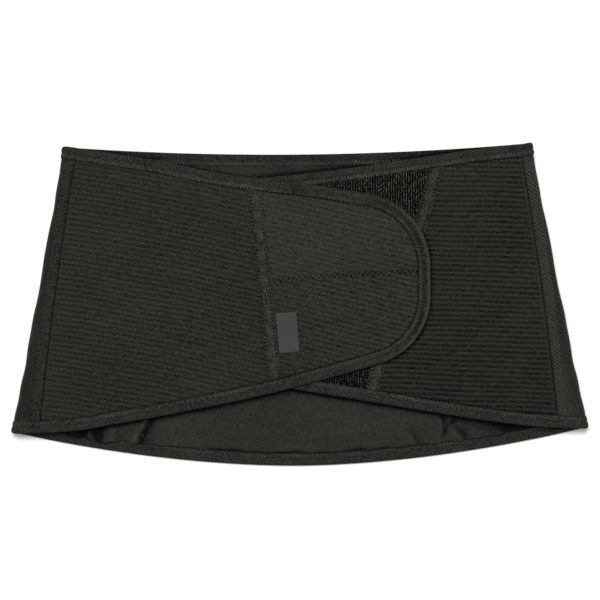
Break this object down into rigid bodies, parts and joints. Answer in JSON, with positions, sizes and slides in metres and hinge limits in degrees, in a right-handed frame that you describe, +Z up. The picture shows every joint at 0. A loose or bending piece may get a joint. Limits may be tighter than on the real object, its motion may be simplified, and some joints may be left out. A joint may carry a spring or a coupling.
{
  "type": "lower back support",
  "caption": "Wide padded lumbar belt lying closed and flat: ribbed elastic flaps with bound edges, a round-ended hook-and-loop tab in front, and a padded back that turns up round both sides.",
  "frame": {"origin": "middle of the belt's box seen from above, on the surface that its back lies on", "axes": "+X to the right seen from above with the waist edge away from the viewer, +Y to the waist edge, +Z up out of the front flaps"},
  "size_m": [0.4426, 0.2466, 0.0218],
  "materials": {
    "back_cloth": "smooth black lining inside, fine black twill outside",
    "binding_tape": "black twill tape with a zigzag stitch along its inner edge",
    "ribbed_elastic": "matt black elastic with fine ribs across the height",
    "seam_band": "matt black twill, topstitched",
    "loop_face": "black loop pile",
    "hook_face": "black hook tape",
    "label_satin": "dark grey woven satin, bare"
  },
  "bodies": {
    "root": {"back_panel": "back_cloth", "back_top_binding": "binding_tape", "back_bottom_binding": "binding_tape", "left_front_panel": "ribbed_elastic", "closure_tab": "ribbed_elastic", "left_seam_band": "seam_band", "left_front_binding": "binding_tape", "label": "label_satin", "right_front_panel": "ribbed_elastic", "loop_panel": "loop_face", "right_seam_band": "seam_band", "right_front_binding": "binding_tape", "left_side_tape": "seam_band", "right_side_tape": "seam_band", "hook_patch": "hook_face"}
  },
  "joints": []
}
